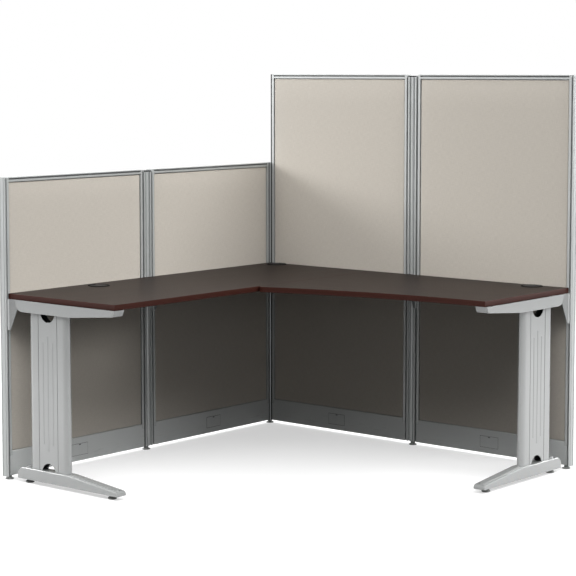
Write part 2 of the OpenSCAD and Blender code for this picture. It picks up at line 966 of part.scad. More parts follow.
module plate_screws(hole) {
    for (y = plate_places)
        for (side = [-1, 1])
            for (row = [-1, 1])
                translate([
                    joint_line + side * plate_long * quarter_share,
                    -y + row * plate_wide * quarter_share,
                    0
                ])
                    screw(bracket_wall, hole);
}

module arm_screws(hole) {
    for (y = strap_places) translate([leg_place, y, 0]) screw(steel_wall, hole);
}

// All screws under the worktops, as solids or as the holes that they sit in
module all_screws(hole) {
    on_left_flat() {
        bracket_screw(groove_low, -1, hole);
        bracket_screw(groove_end, -1, hole);
        arm_screws(hole);
    }
    on_right_flat() {
        bracket_screw(groove_high, 1, hole);
        bracket_screw(groove_end, -1, hole);
        arm_screws(hole);
    }
    plate_screws(hole);
}

module bracket_left_mid() {
    color("Silver") on_left() wall_bracket(groove_low, -1);
}

module bracket_left_end() {
    color("Silver") on_left() wall_bracket(groove_end, -1);
}

module bracket_right_mid() {
    color("Silver") on_right() wall_bracket(groove_high, 1);
}

module bracket_right_end() {
    color("Silver") on_right() wall_bracket(groove_end, -1);
}

module joining_plates() {
    color("Gray") on_corner() difference() {
        for (y = plate_places)
            translate([
                joint_line - plate_long * half_share,
                -y - plate_wide * half_share,
                flat_drop - bracket_wall
            ])
                cube([plate_long, plate_wide, bracket_wall]);
        plate_screws(true);
    }
}

module worktop_screws() {
    color("Silver") on_corner() all_screws(false);
}

// Arm of a leg: a pressed channel, open at the top, with two straps for its screws
module leg_arm() {
    difference() {
        union() {
            difference() {
                translate([leg_place, 0, 0])
                    side_shape(soft_outline(arm_corners, arm_radii), arm_width);
                translate([leg_place, 0, 0])
                    side_shape(soft_outline([
                        arm_corners[0] + [steel_wall, over],
                        arm_corners[1] + [steel_wall, steel_wall],
                        arm_corners[2] + [0, steel_wall],
                        arm_corners[3] + [-steel_wall, steel_wall],
                        arm_corners[4] + [-steel_wall, over]
                    ], [for (r = arm_radii) max(r - steel_wall, 0)]), arm_width - steel_wall * 2);
            }
            for (y = strap_places)
                translate([
                    leg_place - (arm_width - steel_wall) * half_share,
                    y - bracket_flange * half_share,
                    flat_drop - steel_wall
                ])
                    cube([arm_width - steel_wall, bracket_flange, steel_wall]);
        }
        arm_screws(true);
    }
}

// The round cable holes that the column and its cover share
module cable_cuts() {
    for (cut = [[column_top + head_hole_rise, head_hole], [foot_top - foot_hole_sink, foot_hole]])
        translate([leg_place - column_half - over, column_middle, cut[0]])
            rotate([0, right_angle, 0])
                cylinder(h = column_depth + over * 2, r = cut[1], $fn = round_facets);
}

// A bar along z with half-round ends, its middle on the column's middle
module column_bar(inset, low, height) {
    r = column_half - inset;
    for (y = [column_rear + column_half, column_front - column_half])
        translate([leg_place, y, low]) cylinder(h = height, r = r, $fn = round_facets);
    translate([leg_place - r, column_rear + column_half, low])
        cube([r * 2, column_width - column_depth, height]);
}

// Column of a leg: two half-round tubes and a channel between them, its window for the cable
// cover and ledges behind the cover's edges
module leg_column() {
    tall = column_top - foot_top;
    face = leg_place + column_half - cable_cover_wall;
    webs = [column_rear + column_half, column_front - column_half - steel_wall];
    difference() {
        union() {
            difference() {
                column_bar(0, foot_top, tall);
                column_bar(steel_wall, foot_top - over, tall + over * 2);
                translate([leg_place, column_middle - window * half_share, foot_top - over])
                    cube([column_depth, window, tall + over * 2]);
            }
            for (y = webs)
                translate([leg_place - column_half + steel_wall * half_share, y, foot_top])
                    cube([column_depth - steel_wall, steel_wall, tall]);
            for (side = [-1, 1])
                translate([
                    face - steel_wall,
                    column_middle + side * cable_cover * half_share - ledge_width * half_share,
                    foot_top
                ])
                    cube([steel_wall, ledge_width, tall]);
            for (side = [-1, 1])
                translate([
                    face - steel_wall,
                    column_middle + side * (window + steel_wall) * half_share - steel_wall * half_share,
                    foot_top
                ])
                    cube([cable_cover_wall + steel_wall * half_share, steel_wall, tall]);
        }
        cable_cuts();
        for (y = webs)
            translate([leg_place, y - over, foot_top + tall * half_share])
                rotate([-right_angle, 0, 0])
                    cylinder(h = steel_wall + over * 2, d = web_hole, $fn = round_facets);
    }
}

// Raised bead with round ends on the outer face of the cable cover
module bead(y, low, high) {
    translate([leg_place + column_half - bead_rise, y, 0]) {
        for (z = [low + bead_width * half_share, high - bead_width * half_share])
            translate([0, 0, z]) rotate([0, right_angle, 0])
                cylinder(h = bead_rise * 2, d = bead_width, $fn = round_facets);
        translate([0, -bead_width * half_share, low + bead_width * half_share])
            cube([bead_rise * 2, bead_width, high - low - bead_width]);
    }
}

// Cable cover: a flat cover that fills the column's window, with three beads
module leg_cover() {
    difference() {
        translate([
            leg_place + column_half - cable_cover_wall,
            column_middle - cable_cover * half_share,
            foot_top + cover_line
        ])
            cube([cable_cover_wall, cable_cover, column_top - foot_top - cover_line * 2]);
        cable_cuts();
    }
    bead(column_middle, bead_low - bead_extra, bead_high + bead_extra);
    bead(column_middle - bead_pitch, bead_low, bead_high);
    bead(column_middle + bead_pitch, bead_low, bead_high);
}

// Stretch of the foot's raised rib, with round ends, between two distances from the wall
module foot_ridge(from, to) {
    r = foot_rib * half_share;
    intersection() {
        translate([leg_place, 0, foot_rib_height])
            side_shape(soft_outline(foot_corners, foot_radii), foot_rib);
        union() {
            for (y = [from + r, to - r])
                translate([leg_place, y, foot_low]) cylinder(h = foot_top, r = r, $fn = round_facets);
            translate([leg_place - r, from + r, foot_low])
                cube([foot_rib, to - from - foot_rib, foot_top]);
        }
    }
}

// Foot of a leg: a pressed channel, open below, with bosses for the glides and a rib on top
module leg_foot() {
    difference() {
        union() {
            difference() {
                translate([leg_place, 0, 0])
                    side_shape(soft_outline(foot_corners, foot_radii), foot_width);
                difference() {
                    translate([leg_place, 0, 0])
                        side_shape(soft_outline([
                            foot_corners[0] + [-steel_wall, -over],
                            foot_corners[1] + [-steel_wall, -steel_wall],
                            foot_corners[2] + [0, -steel_wall],
                            foot_corners[3] + [steel_wall, -steel_wall],
                            foot_corners[4] + [steel_wall, -over]
                        ], [for (r = foot_radii) max(r - steel_wall, 0)]), foot_width - steel_wall * 2);
                    for (y = [glide_rear, glide_front])
                        translate([leg_place, y, 0])
                            cylinder(h = foot_top, d = stem * 2, $fn = round_facets);
                }
            }
            foot_ridge(column_front + rib_gap, foot_front - foot_rib_end);
            foot_ridge(column_rear - rib_gap - foot_rear_rib, column_rear - rib_gap);
        }
        for (y = [glide_rear, glide_front])
            translate([leg_place, y, foot_low - over])
                cylinder(h = leg_stem_reach + over * 2, d = stem + stem_fit * 2, $fn = round_facets);
        // Below the channel nothing is left of the bosses
        translate([leg_place - foot_width, foot_rear, -over])
            cube([foot_width * 2, foot_front, foot_low + over]);
    }
}

module leg_glide(y) {
    glide(leg_place, y, leg_glide, leg_pad, foot_low, leg_stem_reach);
}

module leg_column_left() {
    color("Silver") on_left() leg_column();
}

module leg_arm_left() {
    color("Silver") on_left() leg_arm();
}

module leg_foot_left() {
    color("Silver") on_left() leg_foot();
}

module leg_cover_left() {
    color("Silver") on_left() leg_cover();
}

module leg_column_right() {
    color("Silver") on_right() leg_column();
}

module leg_arm_right() {
    color("Silver") on_right() leg_arm();
}

module leg_foot_right() {
    color("Silver") on_right() leg_foot();
}

module leg_cover_right() {
    color("Silver") on_right() leg_cover();
}

module leg_glide_left_rear() {
    color("DimGray") on_left() leg_glide(glide_rear);
}

module leg_glide_left_front() {
    color("DimGray") on_left() leg_glide(glide_front);
}

module leg_glide_right_rear() {
    color("DimGray") on_right() leg_glide(glide_rear);
}

module leg_glide_right_front() {
    color("DimGray") on_right() leg_glide(glide_front);
}

corner_post();
mid_post_low();
mid_post_tall();
end_trim_low();
end_trim_tall();
corner_strip_low();
corner_strip_tall();
frame_low_inner();
frame_low_outer();
frame_tall_inner();
frame_tall_outer();
board_low_inner();
board_low_outer();
board_tall_inner();
board_tall_outer();
raceway_front_low_inner();
raceway_front_low_outer();
raceway_front_tall_inner();
raceway_front_tall_outer();
raceway_back_low_inner();
raceway_back_low_outer();
raceway_back_tall_inner();
raceway_back_tall_outer();
outlet_plate_low_inner();
outlet_plate_low_outer();
outlet_plate_tall_inner();
outlet_plate_tall_outer();
wall_glide_corner();
wall_glide_low_mid();
wall_glide_low_end();
wall_glide_tall_mid();
wall_glide_tall_end();
worktop_left();
worktop_right();
edge_band_left();
edge_band_right();
grommet_ring_left();
grommet_ring_corner();
grommet_ring_right();
grommet_cap_left();
grommet_cap_corner();
grommet_cap_right();
bracket_left_mid();
bracket_left_end();
bracket_right_mid();
bracket_right_end();
leg_column_left();
leg_arm_left();
leg_foot_left();
leg_cover_left();
leg_column_right();
leg_arm_right();
leg_foot_right();
leg_cover_right();
leg_glide_left_rear();
leg_glide_left_front();
leg_glide_right_rear();
leg_glide_right_front();
joining_plates();
worktop_screws();
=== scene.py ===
# %% [markdown]
# # A cubicle workstation, piece by piece
#
# The workstation is an L of fabric panels with two worktops in its corner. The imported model
# brings every solid at its real place and size. This file gives each piece the look of the real
# one: softened edges, turned feet, woven boards, and a finish with its own grain. All lengths are
# in metres.

# %% Load the frame
import json
import math

import bmesh
import bpy
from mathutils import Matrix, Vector

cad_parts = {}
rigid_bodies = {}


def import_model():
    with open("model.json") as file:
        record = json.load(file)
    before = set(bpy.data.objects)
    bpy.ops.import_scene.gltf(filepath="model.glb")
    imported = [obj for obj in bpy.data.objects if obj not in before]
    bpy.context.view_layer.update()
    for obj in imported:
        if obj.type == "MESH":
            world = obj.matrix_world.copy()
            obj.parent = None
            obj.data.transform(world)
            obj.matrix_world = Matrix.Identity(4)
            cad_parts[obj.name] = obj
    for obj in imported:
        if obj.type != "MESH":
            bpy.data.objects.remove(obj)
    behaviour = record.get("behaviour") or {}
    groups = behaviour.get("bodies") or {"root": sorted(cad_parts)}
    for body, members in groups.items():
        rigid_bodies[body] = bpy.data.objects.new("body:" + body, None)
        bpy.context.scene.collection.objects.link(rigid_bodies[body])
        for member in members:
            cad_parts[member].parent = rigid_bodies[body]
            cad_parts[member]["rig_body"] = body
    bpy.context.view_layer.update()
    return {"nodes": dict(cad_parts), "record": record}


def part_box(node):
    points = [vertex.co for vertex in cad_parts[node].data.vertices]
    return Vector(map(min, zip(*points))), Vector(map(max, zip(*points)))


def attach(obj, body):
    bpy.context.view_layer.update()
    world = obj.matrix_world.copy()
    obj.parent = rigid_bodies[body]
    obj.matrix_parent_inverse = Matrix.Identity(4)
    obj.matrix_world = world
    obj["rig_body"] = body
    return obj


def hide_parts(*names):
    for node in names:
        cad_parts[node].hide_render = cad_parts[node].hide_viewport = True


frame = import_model()
slot_of = {s["node"]: s["material_slot"] for s in frame["record"]["subparts"]}
print("pieces in the frame:", len(frame["nodes"]))

# %% [markdown]
# ## Camera
#
# The camera stands in front of the right-hand end, a little above the tall wall, and looks into
# the corner with a long lens. Its place was solved from the corners of walls, worktops and legs.
# A small vertical shift keeps the posts nearly upright in the picture, as a studio camera does.

# %% Camera
lens_data = bpy.data.cameras.new("studio_camera")
lens_data.lens = 119.263
lens_data.sensor_width = 36.0
lens_data.shift_y = -0.08
studio_camera = bpy.data.objects.new("studio_camera", lens_data)
bpy.context.scene.collection.objects.link(studio_camera)
studio_camera.location = (4.8614, -5.8091, 1.6224)
studio_camera.rotation_euler = (math.radians(90 - 5.1688), 0.0, math.radians(40.0345))
bpy.context.scene.camera = studio_camera
print("camera at", tuple(round(v, 3) for v in studio_camera.location))

# %% [markdown]
# ## Shader maths as plain expressions
#
# A finish is a node tree, and long trees are hard to read as links. A small class wraps one
# socket and lets it be added, multiplied and faded, so that a pattern reads as a formula. A
# second class holds the material and makes any other node in one call: its type, its settings,
# then its inputs.


# %% Signals
class Signal:
    """One output socket of a finish. Arithmetic on it adds Math nodes."""

    def __init__(self, finish, socket):
        self.finish = finish
        self.socket = socket

    def maths(self, operation, *values):
        inputs = dict(enumerate(values))
        return self.finish.node("ShaderNodeMath", {"operation": operation}, inputs)

    def __add__(self, other):
        return self.maths("ADD", self, other)

    def __radd__(self, other):
        return self.maths("ADD", other, self)

    def __sub__(self, other):
        return self.maths("SUBTRACT", self, other)

    def __rsub__(self, other):
        return self.maths("SUBTRACT", other, self)

    def __mul__(self, other):
        return self.maths("MULTIPLY", self, other)

    def wave(self):
        return self.maths("SINE", self)

    def fade(self, start, end, low=0.0, high=1.0):
        """Low before start, high after end, with a soft step between."""
        return self.finish.node(
            "ShaderNodeMapRange",
            {"interpolation_type": "SMOOTHSTEP"},
            {"Value": self, "From Min": start, "From Max": end, "To Min": low, "To Max": high},
        )


print("signals can be added, multiplied and faded")

# %% Finishes
class Finish:
    """A material, and the one way by which nodes are added to it."""

    def __init__(self, name, **shader_values):
        self.material = bpy.data.materials.new(name)
        self.material.use_nodes = True
        self.tree = self.material.node_tree
        self.shader = self.tree.nodes["Principled BSDF"]
        for socket, value in shader_values.items():
            self.shader.inputs[socket.replace("_", " ")].default_value = value
        place = self.node("ShaderNodeTexCoord", {}, {}, "Object")
        self.place = place
        self.x = self.node("ShaderNodeSeparateXYZ", {}, {0: place}, 0)
        self.y = Signal(self, self.x.socket.node.outputs[1])
        self.z = Signal(self, self.x.socket.node.outputs[2])

    def node(self, kind, settings, inputs, output=0):
        made = self.tree.nodes.new(kind)
        for name, value in settings.items():
            setattr(made, name, value)
        for name, value in inputs.items():
            if isinstance(value, Signal):
                self.tree.links.new(value.socket, made.inputs[name])
            else:
                made.inputs[name].default_value = value
        return Signal(self, made.outputs[output])

    def at(self, x, y, z):
        return self.node("ShaderNodeCombineXYZ", {}, {0: x, 1: y, 2: z})

    def noise(self, place, scale, detail, rough=0.5):
        values = {"Vector": place, "Scale": scale, "Detail": detail, "Roughness": rough}
        return self.node("ShaderNodeTexNoise", {}, values)

    def cells(self, scale):
        values = {"Vector": self.place, "Scale": scale}
        return self.node("ShaderNodeTexVoronoi", {"feature": "F1"}, values)

    def mix(self, share, first, second):
        inputs = {0: share, 6: first, 7: second}
        return self.node("ShaderNodeMix", {"data_type": "RGBA"}, inputs, 2)

    def tint(self, colour, shade):
        """A colour times a grey value, by Vector Math."""
        inputs = {0: colour, 1: self.at(shade, shade, shade)}
        return self.node("ShaderNodeVectorMath", {"operation": "MULTIPLY"}, inputs)

    def bump(self, height, distance, strength):
        values = {"Height": height, "Distance": distance, "Strength": strength}
        return self.node("ShaderNodeBump", {}, values)

    def feed(self, **signals):
        for socket, signal in signals.items():
            self.tree.links.new(signal.socket, self.shader.inputs[socket.replace("_", " ")])


print("shader helpers ready")

# %% [markdown]
# ## Panel fabric
#
# The boards are covered in a plain weave of heathered yarn, warm beige. Every board lies along x
# or along y, so x + y runs along the cloth on all of them and z runs up it, and one formula
# serves both walls. Two sines, one across each yarn, make the over and under of the weave.
# Streaks stretched along warp and weft give single yarns their own shade, and a slow cloud keeps
# a large board from looking printed.


# %% Fabric finish
def woven_fabric():
    f = Finish("panel_fabric", Specular_IOR_Level=0.2, Sheen_Weight=0.25, Sheen_Roughness=0.6)
    along = f.x + f.y
    pitch = 0.0016
    warp = (along * (math.pi / pitch)).wave()
    weft = (f.z * (math.pi / pitch)).wave()
    cell = warp * weft * 0.5 + 0.5
    warp_yarn = f.noise(f.at(along * 620.0, f.z * 45.0, 0.0), 1.0, 1.0)
    weft_yarn = f.noise(f.at(along * 45.0, f.z * 620.0, 7.0), 1.0, 1.0)
    heather = warp_yarn * cell + weft_yarn * (1.0 - cell)
    cloud = f.noise(f.place, 2.2, 2.0)
    shade = 0.965 + cell * 0.03 + cloud * 0.03
    cloth = f.mix(heather, (0.405, 0.370, 0.322, 1.0), (0.600, 0.560, 0.500, 1.0))
    height = cell * 0.7 + heather * 0.5
    f.feed(Base_Color=f.tint(cloth, shade), Roughness=0.84 + heather * 0.12)
    f.feed(Normal=f.bump(height, 0.0003, 0.6))
    return f


panel_fabric = woven_fabric()
print("fabric nodes:", len(panel_fabric.tree.nodes))

# %% [markdown]
# ## Anodised aluminium
#
# Posts, trims and panel frames are extruded and satin anodised. Extrusion leaves fine lines along
# the bar, and anodising dulls the metal into a light grey. The lines are noise stretched more
# than a hundred times along z, the way posts, trims and stiles run. The rails share the finish,
# because the lines are too fine to tell which way they run.


# %% Aluminium finish
def anodised():
    f = Finish("anodised_aluminium", Metallic=0.3, Specular_IOR_Level=0.35)
    lines = f.noise(f.at(f.x * 900.0, f.y * 900.0, f.z * 7.0), 1.0, 2.0)
    cloud = f.noise(f.place, 5.0, 2.0)
    touch = f.noise(f.place, 38.0, 4.0, 0.65)
    shade = 0.93 + lines * 0.08 + cloud * 0.06
    metal = f.mix(cloud, (0.415, 0.43, 0.427, 1.0), (0.455, 0.47, 0.467, 1.0))
    f.feed(Base_Color=f.tint(metal, shade))
    f.feed(Roughness=0.42 + lines * 0.1 + touch * 0.08)
    f.feed(Normal=f.bump(lines, 0.00006, 0.6))
    return f


anodised_aluminium = anodised()
print("aluminium nodes:", len(anodised_aluminium.tree.nodes))

# %% [markdown]
# ## Painted raceway covers
#
# The covers along the floor are painted steel in a warm grey. Sprayed paint dries into a fine
# orange peel, and shoes and brooms leave rubs close to the floor. The peel is a small round noise
# in the bump. The rubs are a stretched noise that fades out with height.


# %% Raceway finish
def raceway_enamel():
    f = Finish("raceway_paint", Specular_IOR_Level=0.45)
    along = f.x + f.y
    peel = f.noise(f.place, 420.0, 2.0)
    rubs = f.noise(f.at(along * 14.0, f.z * 160.0, 3.0), 1.0, 4.0, 0.6)
    worn = rubs.fade(0.56, 0.72) * f.z.fade(0.02, 0.10, 1.0, 0.0)
    cloud = f.noise(f.place, 6.0, 2.0)
    paint = f.mix(cloud, (0.50, 0.515, 0.51, 1.0), (0.53, 0.545, 0.54, 1.0))
    f.feed(Base_Color=f.mix(worn * 0.35, paint, (0.20, 0.20, 0.19, 1.0)))
    f.feed(Roughness=0.42 + peel * 0.08 + worn * 0.18)
    f.feed(Normal=f.bump(peel, 0.00008, 0.5))
    return f


def outlet_moulding():
    f = Finish("outlet_plastic", Specular_IOR_Level=0.4)
    grain = f.noise(f.place, 1400.0, 2.0)
    cloud = f.noise(f.place, 30.0, 2.0)
    plastic = f.mix(cloud, (0.50, 0.515, 0.51, 1.0), (0.53, 0.545, 0.54, 1.0))
    f.feed(Base_Color=plastic, Roughness=0.52 + grain * 0.12)
    f.feed(Normal=f.bump(grain, 0.00005, 0.6))
    return f


raceway_paint = raceway_enamel()
outlet_plastic = outlet_moulding()
print("raceway nodes:", len(raceway_paint.tree.nodes))

# %% [markdown]
# ## Silver powder coat
#
# The legs are pressed steel with a silver powder coat. The powder melts into a skin with a slight
# texture, and aluminium flakes in it give a soft sparkle. A slightly metallic shader with a cell
# pattern in colour and roughness shows both. A coat stands for the clear skin of the powder:
# where the round end of the column turns away, it mirrors the pale room as a bright band.


# %% Leg finish
def powder_coat():
    clear_skin = {"Coat_Weight": 1.0, "Coat_Roughness": 0.15, "Coat_IOR": 1.9}
    f = Finish("leg_paint", Metallic=0.05, Specular_IOR_Level=0.35, **clear_skin)
    flakes = f.cells(1500.0)
    skin = f.noise(f.place, 330.0, 3.0)
    cloud = f.noise(f.place, 7.0, 2.0)
    shade = 0.95 + cloud * 0.05 + flakes * 0.06
    silver = f.mix(skin, (0.232, 0.241, 0.239, 1.0), (0.256, 0.265, 0.263, 1.0))
    f.feed(Base_Color=f.tint(silver, shade))
    f.feed(Roughness=0.36 + skin * 0.1 + flakes * 0.05)
    f.feed(Normal=f.bump(skin + flakes * 0.3, 0.00007, 0.5))
    return f


leg_paint = powder_coat()
print("leg nodes:", len(leg_paint.tree.nodes))

# %% [markdown]
# ## Dark cherry laminate
#
# The tops are a printed laminate under a clear satin layer: dark red-brown, with straight grain,
# short pores and slow bands of darker wood. The grain runs along each worktop, so the finish
# takes that direction as an argument. Grain is noise stretched along it, bands are a wider one, a
# slow drift bends both a little, and pores are short dark strokes.


# %% Laminate finish
def cherry_laminate(name, along_x):
    f = Finish(name, Specular_IOR_Level=0.09)
    with_grain, across = (f.x, f.y) if along_x else (f.y, f.x)
    drift = f.noise(f.at(with_grain * 1.1, across * 5.0, 0.0), 1.0, 2.0)
    grain = f.noise(f.at(with_grain * 3.0, across * 150.0 + drift * 9.0, 0.0), 1.0, 4.0, 0.6)
    bands = f.noise(f.at(with_grain * 0.9, across * 17.0 + drift * 3.0, 4.0), 1.0, 3.0)
    pores = f.noise(f.at(with_grain * 70.0, across * 1500.0, 9.0), 1.0, 1.0).fade(0.66, 0.74)
    tone = (grain * 0.6 + bands * 0.5).fade(0.32, 0.78)
    wood = f.mix(tone, (0.0085, 0.0048, 0.0034, 1.0), (0.0200, 0.0122, 0.0088, 1.0))
    f.feed(Base_Color=f.mix(pores * 0.6, wood, (0.012, 0.006, 0.005, 1.0)))
    f.feed(Roughness=0.40 + grain * 0.07 + pores * 0.15)
    f.feed(Normal=f.bump(grain * 0.4 - pores, 0.00005, 0.5))
    return f


laminate_left = cherry_laminate("laminate_left", along_x=False)
laminate_right = cherry_laminate("laminate_right", along_x=True)
print("laminate nodes:", len(laminate_left.tree.nodes))

# %% [markdown]
# ## Edge band
#
# A thick plastic band in a matching red-brown closes the edges of the worktops. It is extruded,
# so it has very fine lines along its length, and a soft radius along its top edge that catches
# the light.


# %% Edge band finish
def band_plastic():
    f = Finish("edge_plastic", Specular_IOR_Level=0.12)
    along = f.x + f.y
    lines = f.noise(f.at(along * 4.0, along * 4.0, f.z * 900.0), 1.0, 2.0)
    cloud = f.noise(f.place, 9.0, 2.0)
    brown = f.mix(cloud, (0.029, 0.0070, 0.0044, 1.0), (0.039, 0.0100, 0.0062, 1.0))
    f.feed(Base_Color=f.tint(brown, 0.92 + lines * 0.16))
    f.feed(Roughness=0.44 + lines * 0.1)
    f.feed(Normal=f.bump(lines, 0.00003, 0.4))
    return f


edge_plastic = band_plastic()
print("edge band nodes:", len(edge_plastic.tree.nodes))

# %% [markdown]
# ## Moulded plastic, dark strips and zinc
#
# Glides are grey moulded plastic with a spark-eroded grain, grommet rings black ones, and their
# caps a shade lighter. The strips beside the corner post are dark and matt. Two dark grey tones are
# painted shade for the bottoms of grooves, and a near-black one is painted shade for hollows, for
# the line round the outlet plates and for the hollow behind each leg's cover. Brackets, plates and
# screws are zinc plated steel: the plating breaks into faint spangle, which is a cell pattern in
# shade and gloss. The brackets take a duller, darker one, whose dark tone is painted shade under
# the worktops.


# %% Small finishes
def moulded(name, dark, light, rough, gloss=0.25):
    f = Finish(name, Specular_IOR_Level=gloss)
    grain = f.noise(f.place, 1100.0, 2.0)
    cloud = f.noise(f.place, 40.0, 2.0)
    f.feed(Base_Color=f.mix(cloud, dark, light), Roughness=rough + grain * 0.14)
    f.feed(Normal=f.bump(grain, 0.00008, 0.6))
    return f


def zinc_plate(name, dark, light, metallic):
    f = Finish(name, Metallic=metallic)
    spangle = f.cells(160.0)
    lines = f.noise(f.at(f.x * 700.0, f.y * 700.0, f.z * 30.0), 1.0, 2.0)
    f.feed(Base_Color=f.mix(spangle * 1.2, dark, light))
    f.feed(Roughness=0.38 + spangle * 0.12 + lines * 0.06)
    f.feed(Normal=f.bump(lines, 0.00005, 0.5))
    return f


# Painted shade: these three tones stand for the shade in grooves, in hollows and behind the outlet
# plates.
groove_painted_shade = moulded("groove_painted_shade", (0.105, 0.11, 0.11, 1), (0.135, 0.14, 0.14, 1), 0.5)
cap_groove_painted_shade = moulded("cap_groove_painted_shade", (0.17, 0.175, 0.175, 1), (0.20, 0.205, 0.205, 1), 0.5)
deep_painted_shade = moulded("deep_painted_shade", (0.022, 0.023, 0.023, 1), (0.03, 0.031, 0.031, 1), 0.6)
black_plastic = moulded(
    "black_plastic", (0.010, 0.010, 0.010, 1), (0.016, 0.016, 0.016, 1), 0.6, gloss=0.03
)
cap_plastic = moulded(
    "cap_plastic", (0.020, 0.019, 0.019, 1), (0.028, 0.026, 0.026, 1), 0.5, gloss=0.16
)
dark_strip = moulded("dark_strip", (0.05, 0.05, 0.05, 1), (0.07, 0.07, 0.068, 1), 0.55)
zinc_steel = zinc_plate("zinc_steel", (0.46, 0.47, 0.475, 1), (0.52, 0.53, 0.53, 1), 0.5)
# The bracket gusset's dark tone is painted shade under the worktops.
shaded_bracket_steel = zinc_plate("shaded_bracket_steel", (0.19, 0.195, 0.195, 1), (0.225, 0.23, 0.23, 1), 0.15)
glide_plastic = moulded("glide_plastic", (0.30, 0.31, 0.30, 1), (0.36, 0.37, 0.36, 1), 0.4)
finishes = {
    "anodised_aluminium": anodised_aluminium,
    "dark_strip": dark_strip,
    "panel_fabric": panel_fabric,
    "raceway_paint": raceway_paint,
    "outlet_plastic": outlet_plastic,
    "laminate": laminate_right,
    "edge_plastic": edge_plastic,
    "leg_paint": leg_paint,
    "black_plastic": black_plastic,
    "glide_plastic": glide_plastic,
    "cap_plastic": cap_plastic,
    "zinc_steel": zinc_steel,
}
print("finishes:", sorted(finishes))

# %% [markdown]
# ## From a imported solid to a finished piece
#
# A imported node is a set of loose triangles with dead sharp edges, and no real edge is that sharp.
# A copy of the mesh is merged, its flat faces are joined again, and a Bevel modifier rounds what is
# left by a fraction of a millimetre. Weighted normals keep the flat faces flat. The piece then
# rides on the body of its node and stands in for it. Some faces take a second, darker finish as
# painted shade, at the bottoms of deep grooves and in hollows; they are found by their place in the
# wall, as a distance along it and one out of its middle plane.


# %% Helpers for pieces
TINY = 0.00001
HALF_FOOTPRINT = 0.7975


def mesh_copy(node):
    """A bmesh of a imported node, merged, with its flat faces joined."""
    bm = bmesh.new()
    bm.from_mesh(frame["nodes"][node].data)
    bmesh.ops.remove_doubles(bm, verts=bm.verts, dist=TINY)
    bmesh.ops.dissolve_limit(
        bm,
        angle_limit=math.radians(0.5),
        verts=bm.verts,
        edges=bm.edges,
        use_dissolve_boundaries=False,
    )
    return bm


def cut_across(bm, place, direction):
    """Cuts every face that a plane runs through."""
    everything = bm.verts[:] + bm.edges[:] + bm.faces[:]
    bmesh.ops.bisect_plane(bm, geom=everything, plane_co=place, plane_no=direction)


def pull_in(bm, axis, low, high, amount):
    """Moves the outermost vertices along one axis inwards, so that the piece gets narrower."""
    for vert in bm.verts:
        if abs(vert.co[axis] - low[axis]) < TINY:
            vert.co[axis] += amount
        elif abs(vert.co[axis] - high[axis]) < TINY:
            vert.co[axis] -= amount


def piece_from(bm, name):
    """An object at the origin from a bmesh, with smooth faces and fresh normals."""
    for face in bm.faces:
        face.smooth = True
    mesh = bpy.data.meshes.new(name)
    bm.to_mesh(mesh)
    bm.free()
    for old_shading in ("custom_normal", "sharp_face", "sharp_edge"):
        if old_shading in mesh.attributes:
            mesh.attributes.remove(mesh.attributes[old_shading])
    piece = bpy.data.objects.new(name, mesh)
    bpy.context.scene.collection.objects.link(piece)
    return piece


def soften(piece, width, segments=2, from_angle=30):
    """Rounds every edge sharper than an angle in degrees by a width."""
    rounding = piece.modifiers.new("soft_edges", "BEVEL")
    rounding.limit_method = "ANGLE"
    rounding.angle_limit = math.radians(from_angle)
    rounding.width = width
    rounding.segments = segments
    rounding.use_clamp_overlap = False
    flattening = piece.modifiers.new("flat_faces", "WEIGHTED_NORMAL")
    flattening.mode = "FACE_AREA"
    flattening.weight = 60
    flattening.keep_sharp = True
    return piece


def settle(piece, node, finish=None):
    """The piece rides on its node's body, stands for the node and takes its finish."""
    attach(piece, frame["nodes"][node]["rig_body"])
    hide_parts(node)
    piece.data.materials.clear()
    piece.data.materials.append((finish or finishes[slot_of[node]]).material)
    return piece


def finished_copy(node, width, finish=None):
    """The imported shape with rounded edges."""
    return settle(soften(piece_from(mesh_copy(node), node + "_finished"), width), node, finish)


def in_wall(wall, point):
    """Distances along the wall from the corner, out of its middle plane, and up."""
    if wall == "low":
        return HALF_FOOTPRINT - point.y, point.x + HALF_FOOTPRINT, point.z
    return point.x + HALF_FOOTPRINT, HALF_FOOTPRINT - point.y, point.z


def finish_where(piece, wall, finish, inside):
    """Gives the faces whose middle passes a test another finish."""
    piece.data.materials.append(finish.material)
    count = 0
    for polygon in piece.data.polygons:
        if inside(*in_wall(wall, polygon.center), polygon.normal):
            polygon.material_index = len(piece.data.materials) - 1
            count += 1
    print(piece.name, "faces in", finish.material.name + ":", count)
    return piece


walls = [(wall, panel) for wall in ("low", "tall") for panel in ("inner", "outer")]
print("walls:", walls)

# %% [markdown]
# ## Posts, trims and frames
#
# These are extrusions and assembled frames, and their imported shapes already have the ribs,
# grooves and flutes of the real ones. Only their edges need the small radius that a die or a
# deburring tool leaves: about half a millimetre, and a full one on the larger corner post. The
# hollow top of a middle post is painted near black as shade, and its side grooves, the flutes of
# the end trims and the groove in a frame's top rail take darker painted shade, so a middle post's
# mesh is cut just under the top and faces are sorted by place.

# %% Posts, trims and frames
RIB_EDGE = 0.0213
GROOVE_HALF_DEPTH = 0.0127
HOLLOW_TOP_SHADE_HEIGHT = 0.005
TRIM_FACE_START = 1.6068
CAP_GROOVE = (0.0038, 0.0102)
CAP_HALF_DEPTH = 0.0178


